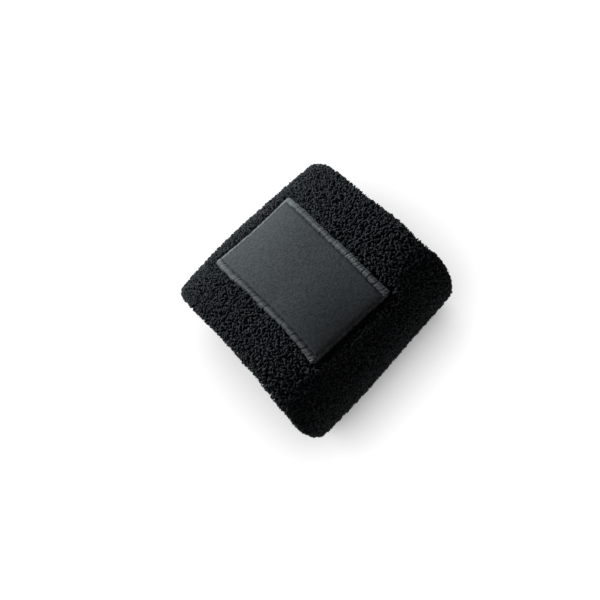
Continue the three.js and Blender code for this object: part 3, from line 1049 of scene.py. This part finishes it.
class WRISTBAND_OT_ground(bpy.types.Operator):
    """The knitted ground: outer ply, both folds and the lining ply as one tube"""

    bl_idname = "wristband.ground"
    bl_label = "Ground fabric"

    def execute(self, context):
        form = Form()
        slot_half = box_mm("lining_loop_pile_forearm")[0][0]
        straight = np.linspace(slot_half, form.fold_start, 14)[:-1]
        turn = np.linspace(-math.pi / 2, math.pi / 2, 13)
        over = np.linspace(form.fold_start, -form.fold_start, 40)[1:-1]

        def half_outline(radius):
            """The profile on one side of the cloth, from the slot round both folds to the slot."""
            low = np.stack([straight, np.full(len(straight), form.fold_radius - radius)], 1)
            fold = np.stack([np.cos(turn), np.sin(turn)], 1) * radius + [form.fold_start, form.fold_radius]
            top = np.stack([over, np.full(len(over), form.fold_radius + radius)], 1)
            right = np.concatenate([low, fold])
            return np.concatenate([right, top, right[::-1] * [-1, 1]])

        outer, inner = half_outline(form.ground_outer), half_outline(form.ground_inner)
        outline = np.concatenate([outer, inner[::-1]])
        angles = np.linspace(0, TURN, 241)[:-1]
        points = form.place(outline[:, 0], angles[:, None], outline[:, 1])[0]
        rows, columns = points.shape[:2]
        ring = corner_places(rows, columns).reshape(-1, 4, 2)
        # the weave runs by length round the band and along the wall's profile
        round_it = form.around(0.0, form.fold_radius)
        run = run_along(outline)
        raw_edge = 1.0
        closed_run = np.append(run, run[-1] + raw_edge)
        weave = np.stack([ring[..., 0] / rows * round_it, closed_run[ring[..., 1]]], -1)
        maps = {"OFBake": [ring / np.array([rows, columns])], "Weave": [weave]}
        faces = [grid_faces(rows, columns, True, True)]
        made, nodes = ground_material(), ["ground_knit_tube"]
        piece = new_piece("ground_fabric", points.reshape(-1, 3), faces, maps, made, nodes)
        return {"FINISHED"}


class WRISTBAND_OT_elastic_yarns(bpy.types.Operator):
    """Covered elastic yarns laid round the band between the plies"""

    bl_idname = "wristband.elastic_yarns"
    bl_label = "Elastic yarns"

    def execute(self, context):
        form = Form()
        names = sorted(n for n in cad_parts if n.startswith("elastic_yarn_"))
        rings, wander = 160, 0.25
        angles = np.linspace(0, TURN, rings + 1)[:-1]
        for number, cad in enumerate(names):
            radius, height, low, high = form.thread_in_wall(cad)
            x = (low + high) / 2 + wander * np.sin(3 * angles + number)
            line, normal = form.place(x, angles, height)
            shape = line[None], np.full((1, rings), radius), normal[None]
            pace = form.around(0.0, height) / rings
            name, made = f"covered_elastic_{number + 1:02d}", elastic_material()
            yarn_piece(name, *shape, 6, pace, 0.3, made, "elastic", [cad], closed=True)
        return {"FINISHED"}


class WRISTBAND_OT_closing_seam(bpy.types.Operator):
    """The overlocked ridge that closes the tube on the wrist side"""

    bl_idname = "wristband.closing_seam"
    bl_label = "Closing seam"

    def execute(self, context):
        form = Form()
        radius, height = form.thread_in_wall("closing_seam_thread")[:2]
        round_it = form.around(0.0, height)
        thread, advance = 0.17, 1.15
        turns = round(round_it / advance)
        rings = turns * 10
        angles = form.even_angles(0.0, height, rings, np.zeros(rings))
        wind = TURN * turns * np.arange(rings) / rings
        reach = radius - thread
        line, normal = form.place(reach * np.cos(wind), angles, height + reach * np.sin(wind))
        over = tubes(line[None], np.full((1, rings), thread), normal[None], 5, closed=True)
        # the raw edges that the thread wraps, as one round core
        core_rings = 240
        core_angles = np.linspace(0, TURN, core_rings + 1)[:-1]
        core, core_normal = form.place(np.zeros(core_rings), core_angles, height)
        radii = np.full((1, core_rings), reach - 0.02)
        inner = tubes(core[None], radii, core_normal[None], 8, closed=True)
        points = np.concatenate([over[0], inner[0]])
        faces = over[1] + [part + len(over[0]) for part in inner[1]]
        bake, yarn = [], []
        # each has its own half of the map
        for made, sides, pace, up in ((over, 5, 0.45, 0.0), (inner, 8, round_it / core_rings, 0.5)):
            bake += [part * [1, 0.5] + [0, up] for part in packed_uv(*made[2:], sides, 1)]
            yarn += [part * np.array([pace, 1 / sides]) for part in made[2]]
        maps, tone = {"OFBake": bake, "Yarn": yarn}, {"tone": np.full(len(points), 0.35)}
        nodes = ["closing_seam_thread"]
        new_piece("closing_overlock", points, faces, maps, seam_material(), nodes, tone)
        return {"FINISHED"}


# ---------------------------------------------------------------- the patch


def face_height(patch, u, v):
    """Height of the patch's cloth: it swells between its edges and is drawn down by stitches."""
    depth = patch.inside(u, v, patch.patch.border)
    swell = patch.patch.puff * (1 - np.exp(-np.maximum(depth, 0) / 0.42))
    along = np.where(np.abs(u) / patch.half_u > np.abs(v) / patch.half_v, v, u)
    pulled = 0.62 + 0.08 * np.cos(TURN * along / patch.patch.stitch)
    groove = pulled * np.exp(-(((depth - 0.26) / 0.28) ** 2))
    return patch.face_top + swell - groove + patch.drop_over(v, depth)


def blown_cloth(patch, rows, columns, inset):
    """How far the sewn cloth stands up over its padding: a small simulation of it laid flat,
    1 mm as 1 cm, held along the seam and pressed from below, then drawn out to a finer grid."""
    coarse, scale = (61, 39), 0.01
    u, v = patch_grid(patch, inset, *coarse)
    points = np.stack([u.ravel(), v.ravel(), np.zeros(u.size)], 1) * scale
    mesh = bpy.data.meshes.new("blown_cloth")
    mesh.from_pydata(points.tolist(), [], grid_faces(*coarse, False, False).tolist())
    cloth = linked("blown_cloth", mesh)
    scene = bpy.context.scene
    held = cloth.vertex_groups.new(name="seam")
    seam = patch.inside(u, v, patch.patch.border).ravel() < 0.3
    held.add(np.flatnonzero(seam).tolist(), 1.0, "REPLACE")
    solver = cloth.modifiers.new("Cloth", "CLOTH")
    stiffness = {"tension_stiffness": 12, "compression_stiffness": 12, "shear_stiffness": 12}
    pressed = {"use_pressure": True, "uniform_pressure_force": patch.patch.cloth_pressure}
    cut = {"vertex_group_mass": "seam", "shrink_min": -patch.patch.spare_cloth, "mass": 0.2}
    for name, value in {**stiffness, **pressed, **cut, "bending_stiffness": 8, "quality": 8}.items():
        setattr(solver.settings, name, value)
    solver.settings.effector_weights.gravity = 0
    solver.collision_settings.use_collision = False
    for number in range(1, 31):
        scene.frame_set(number)
    shown = cloth.evaluated_get(bpy.context.evaluated_depsgraph_get())
    found = np.empty(len(points) * 3, np.float32)
    shown.data.vertices.foreach_get("co", found)
    bpy.data.objects.remove(cloth)
    bpy.data.meshes.remove(mesh)
    scene.frame_set(1)
    height = np.abs(found.reshape(*coarse, 3)[..., 2].astype(float)) / scale
    for axis, size in ((0, rows), (1, columns)):
        at = np.linspace(0, coarse[axis] - 1, size)
        drawn = [np.interp(at, np.arange(coarse[axis]), line) for line in np.moveaxis(height, axis, 1)]
        height = np.moveaxis(np.array(drawn), 1, axis)
    return np.clip(height, 0, 1.2) * patch.patch.blown


def patch_grid(patch, inset, rows, columns):
    """(u, v) of a grid that fills the patch's outline less an inset, with rounded corners and
    finer steps towards its edges."""
    half_u, half_v = patch.half_u - inset, patch.half_v - inset
    bend = math.pi / 2 * 0.92
    s, t = (np.sin(np.linspace(-1, 1, size) * bend) / math.sin(bend) for size in (columns, rows))
    s, t = np.meshgrid(s, t)
    radius = max(patch.patch.corner - inset, 0.3)
    u, v = s * half_u, t * half_v
    cu, cv = half_u - radius, half_v - radius
    du, dv = np.maximum(np.abs(u) - cu, 0), np.maximum(np.abs(v) - cv, 0)
    big = np.maximum(np.maximum(du, dv), 1e-9)
    pull = np.where((du > 0) & (dv > 0), big / np.maximum(np.hypot(du, dv), 1e-9), 1.0)
    u = np.sign(u) * (np.minimum(np.abs(u), cu) + du * pull)
    return u, np.sign(v) * (np.minimum(np.abs(v), cv) + dv * pull)


def cloth_piece(name, patch, u, v, heights, inset, thickness, material, nodes):
    """A closed sheet of the patch with its top at the given heights."""
    over, under = (patch.place(u, v, heights - down)[0] for down in (0.0, thickness))
    points, faces = closed_sheet(over, under)
    plane = np.stack([u.ravel(), v.ravel()], 1)
    # both faces side by side in one map, and the edge between them
    unit = plane / np.array([patch.half_u, patch.half_v]) * 0.48 + 0.5
    halves = np.concatenate([unit * [0.49, 1], unit * [0.49, 1] + [0.505, 0]])
    edge = np.concatenate([unit, unit]) * [0.005, 1] + [0.4975, 0]
    bake = [halves[part] for part in faces[:2]] + [edge[faces[2]]]
    weave = [np.concatenate([plane, plane])[part] for part in faces]
    piece = new_piece(name, points, faces, {"OFBake": bake, "Weave": weave}, material, nodes)
    flat = (2 * (patch.half_u - inset) * MM, 2 * (patch.half_v - inset) * MM)


class WRISTBAND_OT_patch_cloth(bpy.types.Operator):
    """The patch's twill face and the interlining behind it"""

    bl_idname = "wristband.patch_cloth"
    bl_label = "Patch cloth"

    def execute(self, context):
        patch = PatchForm(Form())
        under_border = 1.2
        inset = patch.patch.border - under_border
        u, v = patch_grid(patch, inset, 170, 110)
        over = face_height(patch, u, v) + blown_cloth(patch, 170, 110, inset)
        made, nodes = twill_material(), ["patch_twill_face"]
        cloth_piece("patch_twill", patch, u, v, over, inset, 0.35, made, nodes)
        u, v = patch_grid(patch, inset, 40, 26)
        under_face = 0.75
        behind = patch.face_top - under_face + patch.edge_drop(v)
        made, nodes = interlining_material(), ["patch_interlining"]
        cloth_piece("patch_backing", patch, u, v, behind, inset, 0.25, made, nodes)
        return {"FINISHED"}


class Stitching:
    """The border's threads, in order round the patch, and what differs from one to the next."""

    def __init__(self, patch, rng):
        sizes = patch.patch
        count = round(patch.outline(0.0, 8)[2] / sizes.thread_pitch)
        points, normals, _ = patch.outline(0.0, count)
        self.count, self.points, self.normals = count, points, normals
        self.way = np.stack([-normals[:, 1], normals[:, 0]], 1)
        # threads lie in bundles of a few, each bundle with its own slant, reach, lift and tone
        bundle = np.repeat(np.arange(count), rng.integers(4, 10, count))[:count]
        share = bundle / bundle.max()
        of_bundle = rng.normal(0, 1, (5, count))[:, bundle]
        new_bundle = np.concatenate([[True], np.diff(bundle) > 0])
        seam = new_bundle | np.roll(new_bundle, -1)
        # where the stitching turns a corner its threads tangle and heap up
        nook = np.abs(np.abs(points) - [patch.half_u, patch.half_v]).max(1)
        corner = np.exp(-((nook / 2.0) ** 2))
        slant = 0.22 + 0.06 * of_bundle[0] + rng.normal(0, 0.03, count)
        self.slant = slant + 0.35 * corner * rng.normal(0, 1, count)
        wobble = 0.16 * np.sin(TURN * 9 * share + 1.0) + 0.12 * np.sin(TURN * 23 * share)
        self.inner = rng.normal(0, 0.05, count) + 0.06 * of_bundle[1] - 0.5 * wobble
        self.outer = rng.normal(0, 0.04, count) + 0.06 * of_bundle[2] - wobble
        lift = rng.normal(0, 0.03, count) + 0.03 * of_bundle[3] - 0.07 * seam
        # the last corner to be sewn is the most tangled
        last = np.exp(-((nook / 2.8) ** 2)) * (points < 0).all(1)
        self.lift = lift + (0.1 * corner + 0.3 * last) * np.abs(rng.normal(0, 1, count))
        self.thick = sizes.thread_pitch * 0.58 * rng.uniform(0.9, 1.12, count) * (1 - 0.12 * seam)
        # threads beside a gap between bundles are painted darker: painted shade in the gap
        tone = 0.31 + 0.08 * of_bundle[4] + rng.normal(0, 0.08, count) - 0.1 * seam
        # painted shade and light: the hand side's threads are painted a little darker, and those of the +Y
        # end, which faces the light, paler
        tone = tone - 0.15 * (points[:, 0] < 0.6 - patch.half_u) + 0.2 * (points[:, 1] > patch.half_v - 0.6)
        # painted shade: the -Y end lies deep among the loops in the cloth's shadow, and its threads are
        # painted darker there
        deep = np.clip(-points[:, 1] - patch.half_v + 0.5, 0, 0.4) / 0.4
        # the corners' threads, most of all those of the last corner, are painted paler: a painted highlight
        # where they catch the light
        tone = tone - 0.16 * deep * (1 - corner) + 0.12 * corner + last * rng.uniform(0.3, 1.3, count)
        self.tone = np.clip(tone, 0, 1.3)


class WRISTBAND_OT_patch_border(bpy.types.Operator):
    """Satin stitches wrapped over the patch's edge, thread by thread"""

    bl_idname = "wristband.patch_border"
    bl_label = "Patch border"

    def execute(self, context):
        patch = PatchForm(Form())
        rng = np.random.default_rng(31)
        made = Stitching(patch, rng)
        wide, sides = patch.patch.border / 2, 6
        crown, low = patch.face_top + 0.28, patch.face_top - 0.45
        # distance in from the outline, and height, along each stitch
        phase = np.linspace(-0.42, math.pi + 0.12, 10)
        inward = wide - (wide + 0.1) * np.cos(phase)[None, :]
        inward = inward + np.where(np.cos(phase) < 0, made.inner[:, None], made.outer[:, None])
        dome = np.sign(np.sin(phase)) * np.abs(np.sin(phase)) ** 0.72
        height = low + (crown - low + made.lift[:, None]) * dome[None, :]
        uv = made.points[:, None, :] - inward[:, :, None] * made.normals[:, None, :]
        uv = uv + made.slant[:, None, None] * (inward[:, :, None] - wide) * made.way[:, None, :]
        height = height + patch.edge_drop(uv[..., 1])
        lines, _ = patch.place(uv[..., 0], uv[..., 1], height)
        on, ahead = (patch.place(*(made.points + step * made.way).T, crown)[0] for step in (0, 0.01))
        radii = made.thick[:, None] * np.ones(len(phase))
        threads, faces, uvs, spans = tubes(lines, radii, ahead - on, sides)

        # the padding that the stitches lie on
        edge_count, round_count = 400, 12
        edge, out, _ = patch.outline(0.0, edge_count)
        around = TURN * np.arange(round_count) / round_count
        reach = wide - (wide - 0.05) * np.cos(around)[None, :]
        rise = low - 0.1 + (crown - low - 0.15) * np.sin(around) * np.where(np.sin(around) > 0, 1, 0.5)
        pad = edge[:, None, :] - reach[:, :, None] * out[:, None, :]
        rise = rise[None, :] + patch.edge_drop(pad[..., 1])
        pad_points = patch.place(pad[..., 0], pad[..., 1], rise)[0].reshape(-1, 3)
        pad_faces = grid_faces(edge_count, round_count, True, True, flip=True) + len(threads)
        pad_uv = 0.002 + rng.uniform(0, 0.001, (len(pad_faces), 4, 2))
        yarn = [part * np.array([0.4, 1 / sides]) for part in uvs]
        maps = {"OFBake": packed_uv(uvs, spans, sides, made.count) + [pad_uv], "Yarn": yarn + [pad_uv]}
        tones = [np.repeat(made.tone, len(phase) * sides), np.zeros(len(pad_points))]
        points, tone = np.concatenate([threads, pad_points]), {"tone": np.concatenate(tones)}
        faces, nodes = faces + [pad_faces], ["patch_border_thread"]
        new_piece("satin_border", points, faces, maps, border_material(), nodes, tone)
        return {"FINISHED"}


class WRISTBAND_OT_patch_stitches(bpy.types.Operator):
    """The lockstitch that sews the patch down, and its bobbin thread inside the wall"""

    bl_idname = "wristband.patch_stitches"
    bl_label = "Patch stitches"

    def execute(self, context):
        form = Form()
        patch = PatchForm(form)
        rng = np.random.default_rng(5)
        thread, rings, fine = patch.patch.sewing_thread, 7, 24
        inset = patch.patch.border + 0.35
        count = round(patch.outline(inset, 8)[2] / patch.patch.stitch)
        # each stitch dips at both its ends, to where the two threads lock
        places = np.linspace(1.5, fine - 1.5, rings).round().astype(int)
        at = (np.arange(count) * fine)[:, None] + places[None, :]
        u, v = np.moveaxis(patch.outline(inset, count * fine)[0][at % (count * fine)], -1, 0)
        dip = np.array([1.0, 0.35, 0.05, 0.0, 0.05, 0.35, 1.0])
        on_face = face_height(patch, u, v) + thread * 0.2
        in_wall = form.fold_radius + form.ground_inner - thread
        for name, height, depth, cad in (
            ("lockstitch", on_face, 0.5, "patch_lockstitch_thread"),
            ("bobbin_thread", in_wall, -0.5, "patch_bobbin_thread"),
        ):
            lines, normals = patch.place(u, v, height - dip * depth)
            radii = np.full((count, rings), thread / 2) * rng.uniform(0.9, 1.1, (count, 1))
            tones = rng.uniform(0, 0.3, (count, 1))
            shape = lines, radii, normals
            yarn_piece(name, *shape, 6, 0.4, tones, stitch_material(), "border_thread", [cad])
        return {"FINISHED"}


# ---------------------------------------------------------------- stage


def studio_world(strength):
    """White all round to look at, and a weak even light on everything."""
    world = bpy.data.worlds.new("studio")
    world.use_nodes = True
    tree = world.node_tree
    sky = tree.nodes["Background"]
    sky.inputs["Color"].default_value = (1, 1, 1, 1)
    rays = node(tree, "ShaderNodeLightPath", (-500, 0))
    level = node(tree, "ShaderNodeMapRange", (-250, 0))
    level.inputs["To Min"].default_value = strength
    level.inputs["To Max"].default_value = 1.0
    tree.links.new(rays.outputs["Is Camera Ray"], level.inputs["Value"])
    tree.links.new(level.outputs["Result"], sky.inputs["Strength"])
    return world


def camera_axes(stage):
    """The camera's right, up and back directions in the row frame."""
    flat = math.cos(stage.swing)
    back = Vector((math.sin(stage.swing), -math.sin(stage.tilt) * flat, math.cos(stage.tilt) * flat))
    level = (Vector((1, 0, 0)) - back * back.x).normalized()
    up = back.cross(level)
    c, s = math.cos(stage.roll), math.sin(stage.roll)
    return c * level - s * up, s * level + c * up, back


class WRISTBAND_OT_stage(bpy.types.Operator):
    """Floor, soft lights and the camera"""

    bl_idname = "wristband.stage"
    bl_label = "Stage"

    def execute(self, context):
        scene = context.scene
        stage = settings("stage")
        form = Form()
        middle = Vector((0, 0, form.axis_z * MM))
        right, up, back = camera_axes(stage)
        data = bpy.data.cameras.new("camera")
        data.sensor_width = 36
        data.lens = data.sensor_width * stage.zoom
        data.clip_start, data.clip_end = 0.01, 50
        camera = linked("camera", data)
        place = middle + (back * stage.distance - right * stage.offset_right - up * stage.offset_up) * MM
        camera.matrix_world = Matrix.Translation(place) @ Matrix((right, up, back)).transposed().to_4x4()
        scene.camera = camera

        half = 4.0
        corners = [(-half, -half, 0), (half, -half, 0), (half, half, 0), (-half, half, 0)]
        mesh = bpy.data.meshes.new("floor")
        mesh.from_pydata(corners, [], [(0, 1, 2, 3)])
        floor = linked("floor", mesh)
        pale = tuple(settings("finishes").floor)
        material, tree, shader = blank_material("Floor", pale, 0.9, 0.1)
        rays = node(tree, "ShaderNodeLightPath", (-600, 0))
        # what the floor sends back up to the band is held down, as a dark room would
        tinted(tree, shader, pale, rays.outputs["Is Camera Ray"], stage.floor_return, 1.0)
        mesh.materials.append(material)

        softbox = bpy.data.lights.new("key", "AREA")
        softbox.shape, softbox.size = "DISK", stage.key_size * MM
        softbox.energy, softbox.color = stage.key_light, (0.91, 0.98, 1.0)
        key = linked("key", softbox)
        from_above = Vector((-0.1, math.sin(stage.key_lean), math.cos(stage.key_lean)))
        key.location = middle + from_above * stage.key_far * MM
        key.rotation_mode = "QUATERNION"
        key.rotation_quaternion = (middle - key.location).to_track_quat("-Z", "Y")
        wash = linked("floor_wash", bpy.data.lights.new("floor_wash", "SUN"))
        wash.data.energy = stage.floor_light
        wash.data.angle = math.radians(80)
        wash.location = (0, 0, 1)
        lit_by = {"the band": (key, True), "the floor": (wash, False)}
        for name, (lamp, everything_else) in lit_by.items():
            group = bpy.data.collections.new(name)
            group.objects.link(floor)
            lamp.light_linking.receiver_collection = group
            state = "EXCLUDE" if everything_else else "INCLUDE"
            group.collection_objects[0].light_linking.link_state = state
        scene.world = studio_world(stage.fill_light)
        scene.view_settings.view_transform = "Standard"
        return {"FINISHED"}


class WRISTBAND_PT_panel(bpy.types.Panel):
    """Every step of the wristband, in order"""

    bl_idname = "WRISTBAND_PT_panel"
    bl_label = "Sweat wristband"
    bl_space_type = "VIEW_3D"
    bl_region_type = "UI"
    bl_category = "Wristband"

    def draw(self, context):
        for step in STEPS:
            self.layout.operator(step.bl_idname)


STEPS = (
    WRISTBAND_OT_stage,
    WRISTBAND_OT_ground,
    WRISTBAND_OT_outer_loops,
    WRISTBAND_OT_rim_loops,
    WRISTBAND_OT_stray_fibres,
    WRISTBAND_OT_lining_loops,
    WRISTBAND_OT_elastic_yarns,
    WRISTBAND_OT_closing_seam,
    WRISTBAND_OT_patch_cloth,
    WRISTBAND_OT_patch_border,
    WRISTBAND_OT_patch_stitches,
)


def register():
    for name, group in GROUPS.items():
        bpy.utils.register_class(group)
        setattr(bpy.types.Scene, name, bpy.props.PointerProperty(type=group))
    for made in (*STEPS, WRISTBAND_PT_panel):
        bpy.utils.register_class(made)


def unregister():
    for made in reversed((*STEPS, WRISTBAND_PT_panel)):
        bpy.utils.unregister_class(made)
    for name, group in GROUPS.items():
        delattr(bpy.types.Scene, name)
        bpy.utils.unregister_class(group)


def main():
    register()
    for step in STEPS:
        group, name = step.bl_idname.split(".")
        getattr(getattr(bpy.ops, group), name)()


if __name__ == "__main__":
    main()
